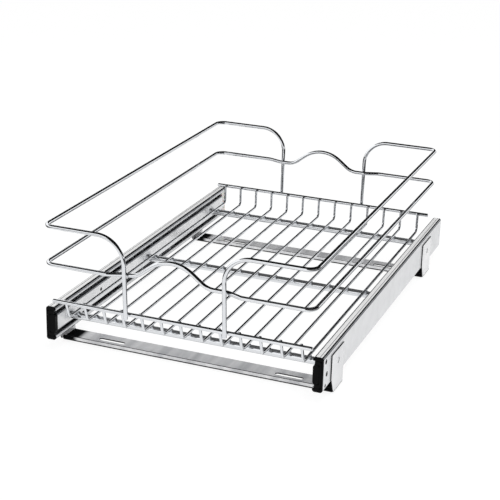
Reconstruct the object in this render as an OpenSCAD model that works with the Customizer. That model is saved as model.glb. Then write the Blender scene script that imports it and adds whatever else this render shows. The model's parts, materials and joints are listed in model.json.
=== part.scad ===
// Pull-out wire basket for the floor of a cabinet.
// A welded wire basket rides on two full-extension ball-bearing slides, which two steel channels
// carry above the cabinet floor.
// +X is to the right, +Y to the back and +Z up. The origin is the middle of the footprint, on the
// cabinet floor. All sizes are in millimetres and the basket is modelled closed.

/* [Overall] */
// Width over the outsides of the channels' side plates
overall_w = 365.1; // [330:0.1:420]
// Depth from the front of the rails to the rear ends of the slides
overall_d = 559.4; // [500:0.1:600]
// Height from the cabinet floor to the top of the top hoops
overall_h = 175; // [168:0.1:200]

/* [Basket wires] */
// Diameter of the middle rail's and the top hoops' wire
rail_d = 5.3; // [5:0.1:7]
// Diameter of the two fence wires
fence_d = 5.2; // [4:0.1:6]
// Diameter of the floor wires
floor_d = 3.7; // [3:0.1:5]
// Diameter of the cross rods under the floor
rod_d = 9.2; // [8:0.1:9.6]
// Gap left between two wires where they are welded
weld_gap = 0.03; // [0:0.01:0.1]

/* [Basket frame] */
// Width of the basket over the outsides of its rails
basket_w = 348.5; // [320:0.1:350]
// Distance from the rear of the rails to the rear ends of the slides
basket_rear_gap = 21.3; // [12:0.1:30]
// Drop of the middle rail below the top hoops, centre to centre
mid_drop = 48.2; // [42:0.1:56]
// Bend radius of the rails at the basket's four corners
corner_r = 12; // [8:1:30]
// Distance of the hoops' posts from the middle of the basket
post_x = 64.1; // [60:0.1:90]
// Sideways offset of the two front posts
front_post_shift = -2.5; // [-4:0.1:0]
// Bend radius where a post turns into the top of its hoop
hoop_r = 34; // [20:1:40]
// Length of a front post below the middle of the fence wire
front_post_tail = 4.5; // [2:0.5:10]
// Length of a rear post below the middle of the fence wire
rear_post_tail = 2.5; // [2:0.5:10]
// Distance of the front fence wire behind the front rails
front_fence_inset = 11.2; // [10:0.1:18]
// Distance of the rear fence wire ahead of the rear rails
rear_fence_inset = 8.5; // [8:0.1:14]

/* [Middle rail] */
// Rise of the raised grip in the middle of the front and of the rear
wave_rise = 24; // [15:0.5:30]
// Slope of the grip's sides, in degrees
wave_slope = 38; // [30:1:42]
// Bend radius of the grip's crest
crest_r = 44; // [30:1:46]
// Bend radius where the grip rises from the rail
valley_r = 25; // [15:1:26]
// Sideways offset of the front grip from the middle of the basket
front_wave_shift = -7.5; // [-9:0.5:0]
// Bend radius of the joggles that take the rail behind the posts
joggle_r = 12; // [8:1:14]
// Length of a joggle along the rail
joggle_len = 19; // [16:1:24]
// Distance from a post to the inner end of its joggle
joggle_gap = 3; // [2:0.5:5]

/* [Basket floor] */
// Number of floor wires
floor_count = 13; // [9:1:13]
// Distance of the outermost floor wires from the slides
floor_edge_gap = 14.75; // [10:0.25:20]
// Rise of the cross rods above the middle of the slides
rod_rise = 2.3; // [2:0.1:5]
// Rise of the front fence wire above the floor wires, centre to centre
front_fence_rise = 24.3; // [20:0.1:30]
// Rise of the rear fence wire above the floor wires, centre to centre
rear_fence_rise = 26.2; // [20:0.1:30]
// Bend radius of the floor wires' upturned ends
floor_bend_r = 8; // [5:0.5:10]
// Distance of the front bends behind the front fence wire
front_bend_inset = 12.6; // [6:0.1:14]
// Distance of the rear bends ahead of the rear fence wire
rear_bend_inset = 5; // [4.5:0.1:10]
// Length of the floor wires' ends above the middle of the fence wires
floor_tip = 1.5; // [0:0.5:4]
// Distance of the outer cross rods from the fence wires
rod_inset = 34.8; // [25:0.1:60]

/* [Rod tabs] */
// Thickness of a rod's end tab
tab_t = 2; // [1.5:0.5:3]
// Height of a tab
tab_h = 10; // [9.5:0.5:13]
// Length of a tab ahead of its rod's axis
tab_front = 6.5; // [5:0.5:8]
// Length of a tab behind its rod's axis
tab_rear = 13.5; // [13:0.5:20]
// Radius of a tab's upper corners
tab_round = 4.3; // [2:0.1:4.5]
// Distance of a tab's screw behind its rod's axis
tab_screw_back = 8.5; // [8.5:0.5:9]
// Diameter of a tab screw's shank
tab_screw_d = 4; // [3:0.5:4]
// Diameter of a tab screw's head
tab_screw_head_d = 7; // [6:0.5:7.5]
// Height of a tab screw's head
tab_screw_head_h = 2; // [1.5:0.5:3]

/* [Slides] */
// Height of a slide
slide_h = 44; // [43:0.5:46]
// Thickness of a slide
slide_t = 12.7; // [12.7:0.1:14]
// Distance of the slides' front ends behind the front of the rails
slide_front_gap = 17.3; // [10:0.1:30]
// Height of the slides' lower edges above the cabinet floor
slide_lift = 17; // [12:0.5:17]
// Thickness of the slides' steel
slide_steel = 1.2; // [1:0.1:1.2]
// Bend radius outside the outer member's corners
slide_corner_r = 3; // [2:0.5:3]
// Height of the outer member's lips, from its outside
lip_h = 5.2; // [4:0.1:5.2]
// Diameter of the bearing balls
ball_d = 4.4; // [4:0.1:4.4]
// Running clearance between a ball and its races
ball_gap = 0.05; // [0.02:0.01:0.08]
// Depth of the ball races in the steel
race_depth = 0.4; // [0.3:0.05:0.45]
// Thickness of the ball retainers
retainer_t = 0.6; // [0.4:0.1:0.6]
// Length of a ball retainer
retainer_len = 180; // [120:1:200]
// Number of balls in each row of a retainer
balls_per_row = 6; // [4:1:8]
// Gap between sheets that slide past each other
slide_gap = 0.3; // [0.3:0.05:0.35]
// Gap between the edges of the intermediate member and the web of the inner one
edge_gap = 0.9; // [0.9:0.05:1]
// Gap between an inner retainer and the edges of the inner member
inner_edge_gap = 0.5; // [0.5:0.05:0.6]
// Distance of the outer balls from the web of the intermediate member
ball_web_gap = 0.6; // [0.5:0.05:0.7]

/* [Slide fittings] */
// Length of the front bumper of an outer or intermediate member
bumper_len = 20; // [18:1:30]
// Thickness of a bumper's front plate, which covers the end of its member
cover_t = 2; // [1:0.5:3]
// Length of the cap on the front end of an inner member
cap_len = 6; // [4:0.5:10]
// Length of the cap's tongue inside the inner member
tongue_len = 12; // [8:1:20]
// Length of the rear stop
rear_stop_len = 14; // [12:1:20]
// Gap between the closed members and the rear stop
stop_gap = 0.5; // [0.2:0.1:1]
// Diameter of the rear stop's snap peg
peg_d = 5; // [4:0.5:6]
// Clearance round a fitted plastic piece, screw or rivet
fit_gap = 0.05; // [0.02:0.01:0.1]
// Diameter of the upper and middle mounting holes near the front of an outer member
end_hole_d = 6.4; // [4:0.1:7]
// Distance of the upper mounting hole behind the slide's front end
upper_hole_y = 10; // [7:0.5:12]
// Rise of the upper mounting hole above the middle of the slide
upper_hole_rise = 14; // [12:0.5:15]
// Distance of the middle mounting hole behind the slide's front end
middle_hole_y = 14; // [8:0.5:18]
// Drop of the middle mounting hole below the middle of the slide
middle_hole_drop = 3; // [0:0.5:4]
// Diameter of the lower mounting hole
low_hole_d = 4.5; // [3:0.1:5]
// Distance of the lower mounting hole behind the slide's front end
low_hole_y = 10; // [7:0.5:12]
// Drop of the lower mounting hole below the middle of the slide
low_hole_drop = 16.5; // [14:0.5:17]
// Diameter of the spare hole in an inner member
spare_hole_d = 5; // [3:0.1:6]
// Distance of that hole behind the slide's front end
spare_hole_y = 120.2; // [100:0.1:140]

/* [Channels] */
// Thickness of the channels' steel
channel_t = 1.5; // [1.2:0.1:2]
// Bend radius inside the channels' corners
channel_bend_r = 1; // [0.5:0.1:2]
// Depth of a channel's web on the cabinet floor
web_d = 34.2; // [34:0.1:45]
// Height of the flange along a channel's front edge
flange_h = 6.5; // [5:0.5:10]
// Depth of a side plate
plate_d = 44.5; // [42:0.1:45]
// Height of a side plate's top above the cabinet floor
plate_h = 53; // [46:0.5:56]
// Distance of a web's front edge behind its side plates' front edge
plate_lead = 10.3; // [8:0.1:16]
// Height where the cut at a side plate's lower front corner begins
plate_cut_h = 22; // [16:1:28]
// Distance of the front side plates behind the slides' front ends
front_plate_inset = 28.4; // [24:0.1:40]
// Distance of the rear side plates ahead of the slides' rear ends
rear_plate_inset = 61.7; // [40:0.1:80]
// Distance between a channel's two mounting slots
slot_spacing = 240; // [200:1:260]
// Length of a mounting slot
slot_len = 36; // [20:1:40]
// Width of a mounting slot
slot_w = 6; // [4:0.5:8]
// Distance of the slots behind the web's front edge
slot_back = 19.1; // [14:0.1:24]
// Distance of a rivet behind its side plate's front edge
rivet_back = 24; // [20:0.5:30]
// Drop of the rivets below the middle of the slides
rivet_drop = 1.2; // [0:0.1:3]
// Diameter of a rivet's shank
rivet_d = 4; // [3:0.1:4.2]
// Depth of a rivet's head below the face of its side plate
rivet_sink = 0.3; // [0.1:0.1:0.5]

/* [Hidden] */
$fn = 40;
eps = 0.01; // overlap that keeps cuts clean
past = 1; // how far a hole's tool runs past the sheet
seam = 0.01; // bends are this much slimmer all round than the straights that run into them
seam_run = 4 * seam; // how far those straights run into them

// Heights
slide_mid_z = slide_lift + slide_h / 2;
rod_z = slide_mid_z + rod_rise;
floor_z = rod_z + (rod_d + floor_d) / 2 + weld_gap;
fence_zs = [floor_z + front_fence_rise, floor_z + rear_fence_rise];
top_z = overall_h - rail_d / 2;
mid_z = top_z - mid_drop;

// Places along the depth
rear_y = overall_d / 2;
rail_front_y = -overall_d / 2 + rail_d / 2;
rail_rear_y = rear_y - basket_rear_gap - rail_d / 2;
slide_front_y = -overall_d / 2 + slide_front_gap;
front_fence_y = rail_front_y + front_fence_inset;
rear_fence_y = rail_rear_y - rear_fence_inset;
rod_ys = [
    front_fence_y + rod_inset,
    (front_fence_y + rear_fence_y) / 2,
    rear_fence_y - rod_inset
];
front_plate_y = slide_front_y + front_plate_inset;
rear_plate_y = rear_y - rear_plate_inset - plate_d;

// Places across the width
slide_out_x = overall_w / 2 - channel_t;
slide_in_x = slide_out_x - slide_t;
rail_x = (basket_w - rail_d) / 2;
floor_pitch = 2 * (slide_in_x - floor_edge_gap) / (floor_count - 1);

// Angle from the vertical of a wire that starts at a corner and touches a fence wire at its side.
// The fence wire lies dy across and dz above or below the corner, and gap is the distance between
// the two wires' axes.
function lean(dy, dz, gap) = atan(dy / dz) - asin(gap / norm([dy, dz]));

post_touch = (rail_d + fence_d) / 2 + weld_gap;
front_lean = lean(front_fence_inset, top_z - fence_zs[0], post_touch);
rear_lean = lean(rear_fence_inset, top_z - fence_zs[1], post_touch);
tip_touch = (floor_d + fence_d) / 2 + weld_gap;
front_tip_lean = lean(front_bend_inset, front_fence_rise, tip_touch);
rear_tip_lean = lean(rear_bend_inset, rear_fence_rise, tip_touch);

// The middle rail runs behind the posts, and touches them.
front_inner_y = rail_front_y + mid_drop * tan(front_lean) + (rail_d + weld_gap) / cos(front_lean);
rear_inner_y = rail_rear_y - mid_drop * tan(rear_lean) - (rail_d + weld_gap) / cos(rear_lean);

// The grip's sides meet at an apex that the crest's bend cuts off.
wave_apex_h = wave_rise + crest_r * (1 / cos(wave_slope) - 1);
wave_half_w = wave_apex_h / tan(wave_slope);

// Section of a slide: u runs from the cabinet side to the basket side, v up from its middle.
outer_cavity_v = slide_h / 2 - slide_steel;
race_gap = ball_d + 2 * ball_gap - 2 * race_depth;
mid_out_v = outer_cavity_v - race_gap;
mid_cavity_v = mid_out_v - slide_steel;
inner_out_v = mid_cavity_v - race_gap;
inner_cavity_v = inner_out_v - slide_steel;
outer_ball_v = (outer_cavity_v + mid_out_v) / 2;
inner_ball_v = (mid_cavity_v + inner_out_v) / 2;
mid_u = slide_steel + slide_gap + retainer_t + slide_gap;
mid_cavity_u = mid_u + slide_steel;
mid_end_u = slide_t - slide_steel - edge_gap;
inner_u = mid_cavity_u + slide_gap + retainer_t + inner_edge_gap;
outer_ball_u = mid_u + ball_web_gap + ball_d / 2;
inner_ball_u = mid_end_u - ball_d / 2;
member_end_y = rear_y - rear_stop_len - stop_gap;

// Retainers in the middle of the closed members stay on both members at any travel.
retainer_mid_y = (slide_front_y + member_end_y) / 2;
ball_pitch = retainer_len / balls_per_row;
retainer_hole_d = ball_d + 4 * ball_gap; // twice the races' clearance

SIDES = ["left", "right"];
TAB_NAMES = [for (row = ["front", "middle", "rear"]) for (side = SIDES) str(row, "_rod_tab_", side)];
FLOOR_NAMES = [for (i = [1 : floor_count]) str("floor_wire_", i)];
ROD_NAMES = ["front_cross_rod", "middle_cross_rod", "rear_cross_rod"];

CHROME = [0.86, 0.87, 0.89];
ZINC = [0.72, 0.73, 0.75];
PLASTIC = [0.08, 0.08, 0.09];
WHITE_PLASTIC = [0.88, 0.88, 0.86];
DARK_STEEL = [0.25, 0.25, 0.27];

// ---- Shared shapes ----

function unit(v) = v / norm(v);

// Turns the local axes to x, y and z and moves the local origin to o
function placing(x, y, z, o) = [
    [x.x, y.x, z.x, o.x],
    [x.y, y.y, z.y, o.y],
    [x.z, y.z, z.z, o.z],
    [0, 0, 0, 1]
];

// Any direction at right angles to v
function across(v) = unit(cross(abs(v.z) < abs(v.x) + abs(v.y) ? [0, 0, 1] : [1, 0, 0], v));

// Angle through which a path turns at b on its way from a to c
function turn(a, b, c) = atan2(norm(cross(b - a, c - b)), (b - a) * (c - b));

// A straight length of wire from a to b
module straight(a, b, d) {
    z = unit(b - a);
    x = across(z);
    multmatrix(placing(x, cross(z, x), z, a)) cylinder(h = norm(b - a), d = d);
}

// The bend of radius r that rounds the corner b of a path from a to c
module bend(a, b, c, r, d) {
    angle = turn(a, b, c);
    into = unit(b - a);
    start = b - into * r * tan(angle / 2);
    centre = b + unit(unit(c - b) - into) * r / cos(angle / 2);
    x = unit(start - centre);
    multmatrix(placing(x, into, cross(x, into), centre))
        rotate_extrude(angle = angle) translate([r, 0]) circle(d = d);
}

// A wire along a list of corners, each [x, y, z, bend radius]; the two ends have radius 0
module wire(corners, d) {
    last = len(corners) - 1;
    p = [for (c = corners) [c.x, c.y, c.z]];
    cut = [for (i = [0 : last]) i == 0 || i == last ? 0
        : corners[i][3] * tan(turn(p[i - 1], p[i], p[i + 1]) / 2)];
    union() {
        for (i = [0 : last - 1]) {
            way = unit(p[i + 1] - p[i]);
            from = cut[i] == 0 ? 0 : cut[i] - seam_run;
            to = cut[i + 1] == 0 ? 0 : cut[i + 1] - seam_run;
            straight(p[i] + way * from, p[i + 1] - way * to, d);
        }
        for (i = [1 : last - 1]) bend(p[i - 1], p[i], p[i + 1], corners[i][3], d - 2 * seam);
    }
}

// A rectangle from low to high with round corners
module round_rect(low, high, r) {
    translate([low.x + r, low.y]) square([high.x - low.x - 2 * r, high.y - low.y]);
    translate([low.x, low.y + r]) square([high.x - low.x, high.y - low.y - 2 * r]);
    for (x = [low.x + r, high.x - r], y = [low.y + r, high.y - r]) translate([x, y]) circle(r);
}

// A quarter of a bent sheet's corner, between the +x and +y axes
module sheet_bend(r, t) {
    intersection() {
        difference() {
            circle(r + t);
            circle(r);
        }
        square(r + t);
    }
}

// Places children modelled on the left side on the named side
module on_side(side) {
    if (side == "left") children();
    else mirror([1, 0, 0]) children();
}

// Extrudes a slide section, drawn with u to the right and v up, from y0 to y1 on the left side
module along_slide(y0, y1) {
    translate([-slide_out_x, y1, slide_mid_z]) rotate([90, 0, 0]) linear_extrude(y1 - y0) children();
}

// A hole across a slide on the left side, from u0 to u1
module cross_hole(y, z, d, u0, u1) {
    translate([u0 - slide_out_x, y, z]) rotate([0, 90, 0]) cylinder(h = u1 - u0, d = d);
}

// ---- Slides ----

// The two ball races at height v above and below the middle of a slide
module races(u, v) {
    for (s = [-1, 1]) translate([u, s * v]) circle(d = ball_d + 2 * ball_gap);
}

module outer_section() {
    r = slide_corner_r;
    difference() {
        round_rect([0, -slide_h / 2], [slide_t, slide_h / 2], r);
        round_rect([slide_steel, -outer_cavity_v], [slide_t - slide_steel, outer_cavity_v], r - slide_steel);
        translate([slide_t / 2, lip_h - slide_h / 2]) square([slide_t, slide_h - 2 * lip_h]);
        races(outer_ball_u, outer_ball_v);
    }
}

module mid_section() {
    r = slide_corner_r;
    difference() {
        round_rect([mid_u, -mid_out_v], [mid_end_u + r, mid_out_v], r);
        round_rect([mid_cavity_u, -mid_cavity_v], [mid_end_u + 2 * r, mid_cavity_v], r - slide_steel);
        translate([mid_end_u, -slide_h / 2]) square([slide_t, slide_h]);
        races(outer_ball_u, outer_ball_v);
        races(inner_ball_u, inner_ball_v);
    }
}

module inner_section() {
    r = slide_corner_r;
    difference() {
        round_rect([inner_u - r, -inner_out_v], [slide_t, inner_out_v], r);
        round_rect(
            [inner_u - 2 * r, -inner_cavity_v],
            [slide_t - slide_steel, inner_cavity_v],
            r - slide_steel
        );
        translate([inner_u - slide_t, -slide_h / 2]) square([slide_t, slide_h]);
        races(inner_ball_u, inner_ball_v);
    }
}

// Distance behind the slide's front end, height and diameter of each mounting hole
END_HOLES = [
    [upper_hole_y, slide_mid_z + upper_hole_rise, end_hole_d],
    [middle_hole_y, slide_mid_z - middle_hole_drop, end_hole_d],
    [low_hole_y, slide_mid_z - low_hole_drop, low_hole_d]
];

module outer_member(side) {
    through = slide_steel + past;
    color(ZINC) on_side(side) difference() {
        along_slide(slide_front_y + cover_t, rear_y) outer_section();
        for (hole = END_HOLES) cross_hole(slide_front_y + hole[0], hole[1], hole[2], -past, through);
        cross_hole(rear_y - rear_stop_len / 2, slide_mid_z, peg_d + 2 * fit_gap, -past, through);
        for (y = [front_plate_y, rear_plate_y])
            cross_hole(y + rivet_back, slide_mid_z - rivet_drop, rivet_d + 2 * fit_gap, -past, through);
    }
}

module intermediate_member(side) {
    color(ZINC) on_side(side) along_slide(slide_front_y + cover_t, member_end_y) mid_section();
}

module inner_member(side) {
    color(ZINC) on_side(side) difference() {
        along_slide(slide_front_y + cap_len, member_end_y) inner_section();
        for (y = rod_ys)
            cross_hole(y + tab_screw_back, rod_z, tab_screw_d + 2 * fit_gap, slide_t / 2, slide_t + past);
        cross_hole(slide_front_y + spare_hole_y, rod_z, spare_hole_d, slide_t / 2, slide_t + past);
    }
}

// Black plastic that fills the front of the outer member round the intermediate one, with a front
// plate that covers the outer member's end
module outer_bumper(side) {
    r = slide_corner_r;
    color(PLASTIC) on_side(side) difference() {
        union() {
            along_slide(slide_front_y, slide_front_y + cover_t)
                round_rect([0, -slide_h / 2], [slide_t, slide_h / 2], r);
            along_slide(slide_front_y + cover_t - eps, slide_front_y + bumper_len) round_rect(
                [slide_steel + fit_gap, fit_gap - outer_cavity_v],
                [slide_t - slide_steel - fit_gap, outer_cavity_v - fit_gap],
                r - slide_steel
            );
        }
        along_slide(slide_front_y - past, slide_front_y + bumper_len + past)
            translate([mid_u - slide_gap, -mid_out_v - slide_gap])
                square([slide_t, 2 * (mid_out_v + slide_gap)]);
    }
}

// Black plastic that fills the front of the intermediate member round the inner one, with a front
// plate that covers the intermediate member's end
module intermediate_bumper(side) {
    r = slide_corner_r;
    color(PLASTIC) on_side(side) difference() {
        union() {
            along_slide(slide_front_y, slide_front_y + cover_t) intersection() {
                round_rect([mid_u, -mid_out_v], [mid_end_u + r, mid_out_v], r);
                translate([mid_u, -mid_out_v]) square([mid_end_u - mid_u, 2 * mid_out_v]);
            }
            along_slide(slide_front_y + cover_t - eps, slide_front_y + bumper_len) round_rect(
                [mid_cavity_u + fit_gap, fit_gap - mid_cavity_v],
                [mid_end_u, mid_cavity_v - fit_gap],
                r - slide_steel
            );
        }
        along_slide(slide_front_y - past, slide_front_y + bumper_len + past)
            translate([inner_u - slide_gap, -inner_out_v - slide_gap])
                square([slide_t, 2 * (inner_out_v + slide_gap)]);
    }
}

// Black plastic cap on the front end of the inner member, with a tongue inside it
module inner_cap(side) {
    r = slide_corner_r;
    tongue_v = inner_cavity_v - fit_gap;
    tongue_u = slide_t - slide_steel - fit_gap;
    cap_end_y = slide_front_y + cap_len;
    color(PLASTIC) on_side(side) {
        along_slide(slide_front_y, cap_end_y) round_rect([inner_u, -inner_out_v], [slide_t, inner_out_v], r);
        along_slide(cap_end_y - eps, cap_end_y + tongue_len) intersection() {
            round_rect([inner_u - r, -tongue_v], [tongue_u, tongue_v], r - slide_steel);
            translate([inner_u, -tongue_v]) square([tongue_u - inner_u, 2 * tongue_v]);
        }
    }
}

// White plastic block that fills the rear of the outer member and stops the other two
module rear_stop(side) {
    r = slide_corner_r - slide_steel;
    color(WHITE_PLASTIC) on_side(side) {
        along_slide(rear_y - rear_stop_len, rear_y) round_rect(
            [slide_steel + fit_gap, fit_gap - outer_cavity_v],
            [slide_t - slide_steel - fit_gap, outer_cavity_v - fit_gap],
            r
        );
        cross_hole(rear_y - rear_stop_len / 2, slide_mid_z, peg_d, 0, slide_steel + past);
    }
}

// A bent strip from u0 to u1 that holds two rows of balls at height v
module retainer(u0, u1, ball_u, v) {
    y0 = retainer_mid_y - retainer_len / 2;
    reach = v + retainer_t / 2;
    difference() {
        along_slide(y0, y0 + retainer_len) difference() {
            translate([u0, -reach]) square([u1 - u0, 2 * reach]);
            translate([u0 + retainer_t, retainer_t - reach]) square([u1, 2 * (reach - retainer_t)]);
        }
        for (i = [0 : balls_per_row - 1])
            translate([ball_u - slide_out_x, y0 + (i + 0.5) * ball_pitch, slide_mid_z - slide_h / 2])
                cylinder(h = slide_h, d = retainer_hole_d);
    }
}

module outer_retainer(side) {
    color(DARK_STEEL) on_side(side)
        retainer(slide_steel + slide_gap, outer_ball_u + ball_d / 2 + retainer_t, outer_ball_u, outer_ball_v);
}

module inner_retainer(side) {
    color(DARK_STEEL) on_side(side)
        retainer(mid_cavity_u + slide_gap, mid_end_u, inner_ball_u, inner_ball_v);
}

// The two rows of balls of a retainer
module ball_rows(ball_u, v) {
    for (i = [0 : balls_per_row - 1], s = [-1, 1])
        translate([
            ball_u - slide_out_x,
            retainer_mid_y - retainer_len / 2 + (i + 0.5) * ball_pitch,
            slide_mid_z + s * v
        ]) sphere(d = ball_d);
}

module outer_balls(side) {
    color(CHROME) on_side(side) ball_rows(outer_ball_u, outer_ball_v);
}

module inner_balls(side) {
    color(CHROME) on_side(side) ball_rows(inner_ball_u, inner_ball_v);
}

// ---- Channels ----

// A channel whose side plates' front edge is at y: a web on the cabinet floor with two slots, a low
// flange along its front edge, and an upright plate outside each slide
module channel(y) {
    bend_out = channel_bend_r + channel_t;
    web_x = overall_w / 2 - bend_out;
    web_y = y + plate_lead;
    color(CHROME) {
        difference() {
            translate([-web_x, web_y + bend_out, 0]) cube([2 * web_x, web_d - bend_out, channel_t]);
            for (s = [-1, 1]) translate([s * slot_spacing / 2, web_y + slot_back, -past]) slot();
        }
        // front flange and its bend
        translate([-web_x, web_y, bend_out]) cube([2 * web_x, channel_t, flange_h - bend_out]);
        translate([-web_x, web_y + bend_out, bend_out]) rotate([0, 90, 0]) linear_extrude(2 * web_x)
            rotate(-90) sheet_bend(channel_bend_r, channel_t);
        for (side = SIDES) on_side(side) {
            translate([-web_x, web_y + bend_out, bend_out]) rotate([-90, 0, 0])
                linear_extrude(plate_d - plate_lead - bend_out)
                    rotate(90) sheet_bend(channel_bend_r, channel_t);
            side_plate(y, bend_out);
        }
    }
}

// A mounting slot, taller than the web is thick
module slot() {
    linear_extrude(channel_t + 2 * past) {
        square([slot_len - slot_w, slot_w], center = true);
        for (s = [-1, 1]) translate([s * (slot_len - slot_w) / 2, 0]) circle(d = slot_w);
    }
}

// The upright plate of a channel on the left side, from low_z up, with its countersunk rivet hole
module side_plate(y, low_z) {
    cut_y = plate_lead * (1 - low_z / plate_cut_h);
    difference() {
        translate([-overall_w / 2, y, 0]) rotate([90, 0, 90]) linear_extrude(channel_t) polygon([
            [0, plate_h],
            [0, plate_cut_h],
            [cut_y, low_z],
            [plate_d, low_z],
            [plate_d, plate_h]
        ]);
        translate([-overall_w / 2, y + rivet_back, slide_mid_z - rivet_drop]) rotate([0, 90, 0])
            countersink(rivet_d + 2 * (channel_t + fit_gap), rivet_d + 2 * fit_gap, channel_t);
    }
}

// A cone from d1 to d2 over the height h, made a little taller at both ends
module countersink(d1, d2, h) {
    slope = (d1 - d2) / h;
    translate([0, 0, -eps]) cylinder(h = h + 2 * eps, d1 = d1 + slope * eps, d2 = d2 - slope * eps);
}

// Flush rivets that join the side plates to the outer members
module bracket_rivets() {
    head_h = channel_t - rivet_sink;
    color(ZINC) for (side = SIDES, y = [front_plate_y, rear_plate_y]) on_side(side)
        translate([rivet_sink - overall_w / 2, y + rivet_back, slide_mid_z - rivet_drop]) rotate([0, 90, 0]) {
            cylinder(h = head_h, d1 = rivet_d + 2 * head_h, d2 = rivet_d);
            cylinder(h = head_h + slide_steel, d = rivet_d);
        }
}

// ---- Basket ----

// The front or rear stretch of the middle rail, from left to right: out_y is where its corners are,
// in_y where it passes behind the posts, post_dx their sideways offset and wave_x the grip's middle
function rail_stretch(out_y, in_y, post_dx, wave_x) = [
    [-rail_x, out_y, mid_z, corner_r],
    [post_dx - post_x - joggle_gap - joggle_len, out_y, mid_z, joggle_r],
    [post_dx - post_x - joggle_gap, in_y, mid_z, joggle_r],
    [wave_x - wave_half_w, in_y, mid_z, valley_r],
    [wave_x, in_y, mid_z + wave_apex_h, crest_r],
    [wave_x + wave_half_w, in_y, mid_z, valley_r],
    [post_dx + post_x + joggle_gap, in_y, mid_z, joggle_r],
    [post_dx + post_x + joggle_gap + joggle_len, out_y, mid_z, joggle_r],
    [rail_x, out_y, mid_z, corner_r]
];

function reversed(list) = [for (i = [len(list) - 1 : -1 : 0]) list[i]];

// One closed loop, whose butt weld is in the middle of its left side
module mid_rail() {
    weld = [[-rail_x, rod_ys[1], mid_z, 0]];
    color(CHROME) wire(
        concat(
            weld,
            rail_stretch(rail_front_y, front_inner_y, front_post_shift, front_wave_shift),
            reversed(rail_stretch(rail_rear_y, rear_inner_y, 0, 0)),
            weld
        ),
        rail_d
    );
}

// One wire: a front post, the top of one side, and a rear post. The posts lean inward to the fences
module top_hoop(side) {
    front_drop = top_z - fence_zs[0] + front_post_tail;
    rear_drop = top_z - fence_zs[1] + rear_post_tail;
    front_x = (side == "left" ? front_post_shift : -front_post_shift) - post_x;
    color(CHROME) on_side(side) wire(
        [
            [front_x, rail_front_y + front_drop * tan(front_lean), top_z - front_drop, 0],
            [front_x, rail_front_y, top_z, hoop_r],
            [-rail_x, rail_front_y, top_z, corner_r],
            [-rail_x, rail_rear_y, top_z, corner_r],
            [-post_x, rail_rear_y, top_z, hoop_r],
            [-post_x, rail_rear_y - rear_drop * tan(rear_lean), top_z - rear_drop, 0]
        ],
        rail_d
    );
}

module fence_wire(y, z) {
    color(CHROME) straight([-slide_in_x, y, z], [slide_in_x, y, z], fence_d);
}

// A floor wire with upturned ends that lean to the inner sides of the fence wires
module floor_wire(index) {
    x = (index - (floor_count - 1) / 2) * floor_pitch;
    front_tip_h = front_fence_rise + floor_tip;
    rear_tip_h = rear_fence_rise + floor_tip;
    front_bend_y = front_fence_y + front_bend_inset;
    rear_bend_y = rear_fence_y - rear_bend_inset;
    color(CHROME) wire(
        [
            [x, front_bend_y - front_tip_h * tan(front_tip_lean), floor_z + front_tip_h, 0],
            [x, front_bend_y, floor_z, floor_bend_r],
            [x, rear_bend_y, floor_z, floor_bend_r],
            [x, rear_bend_y + rear_tip_h * tan(rear_tip_lean), floor_z + rear_tip_h, 0]
        ],
        floor_d
    );
}

module cross_rod(y) {
    half_len = slide_in_x - tab_t;
    color(CHROME) straight([-half_len, y, rod_z], [half_len, y, rod_z], rod_d);
}

// The tab on the end of the cross rod at y: a plate with a round top, against the inner member
module rod_tab(side, y) {
    len = tab_front + tab_rear;
    color(ZINC) on_side(side) difference() {
        translate([-slide_in_x, y - tab_front, rod_z - tab_h / 2]) rotate([90, 0, 90]) linear_extrude(tab_t) {
            square([len, tab_h - tab_round]);
            translate([tab_round, 0]) square([len - 2 * tab_round, tab_h]);
            for (x = [tab_round, len - tab_round]) translate([x, tab_h - tab_round]) circle(tab_round);
        }
        cross_hole(
            y + tab_screw_back,
            rod_z,
            tab_screw_d + 2 * fit_gap,
            slide_t - past,
            slide_t + tab_t + past
        );
    }
}

// Round-headed screws that hold the tabs to the inner members
module tab_screws() {
    color(ZINC) for (side = SIDES, y = rod_ys) on_side(side)
        translate([tab_t - slide_in_x, y + tab_screw_back, rod_z]) rotate([0, 90, 0]) {
            cylinder(h = tab_screw_head_h, d = tab_screw_head_d);
            translate([0, 0, -tab_t - slide_steel]) cylinder(h = tab_t + slide_steel + eps, d = tab_screw_d);
        }
}

// ---- Nodes ----

channel(front_plate_y);  // front_channel
channel(rear_plate_y);  // rear_channel
bracket_rivets();
for (side = SIDES) {
    outer_member(side);
    outer_bumper(side);
    rear_stop(side);
    outer_retainer(side);
    outer_balls(side);
    intermediate_member(side);
    intermediate_bumper(side);
    inner_retainer(side);
    inner_balls(side);
    inner_member(side);
    inner_cap(side);
    top_hoop(side);
}
tab_screws();
mid_rail();
fence_wire(front_fence_y, fence_zs[0]);  // front_fence_wire
fence_wire(rear_fence_y, fence_zs[1]);  // rear_fence_wire
for (i = [0 : len(ROD_NAMES) - 1])
    cross_rod(rod_ys[i]);
for (i = [0 : len(TAB_NAMES) - 1])
    rod_tab(SIDES[i % 2], rod_ys[floor(i / 2)]);
for (i = [0 : floor_count - 1])
    floor_wire(i);
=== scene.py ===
# %% [markdown]
# # A pull-out wire basket for a kitchen cabinet
# The real object is a basket of chrome-plated steel wire, resistance-welded, that rides out of a
# cabinet on two ball-bearing slides. The solids of the model are loaded as a fixed frame, and this
# lesson builds the visible surface over them: round wires with soft bends and weld beads, folded
# sheet with rolled edges, moulded stops, and the finishes that each of them has.

# %% Load the frame
import json
from math import asin, atan, cos, degrees, hypot, radians, sin, tan

import bmesh
import bpy
from mathutils import Matrix, Vector

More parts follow.
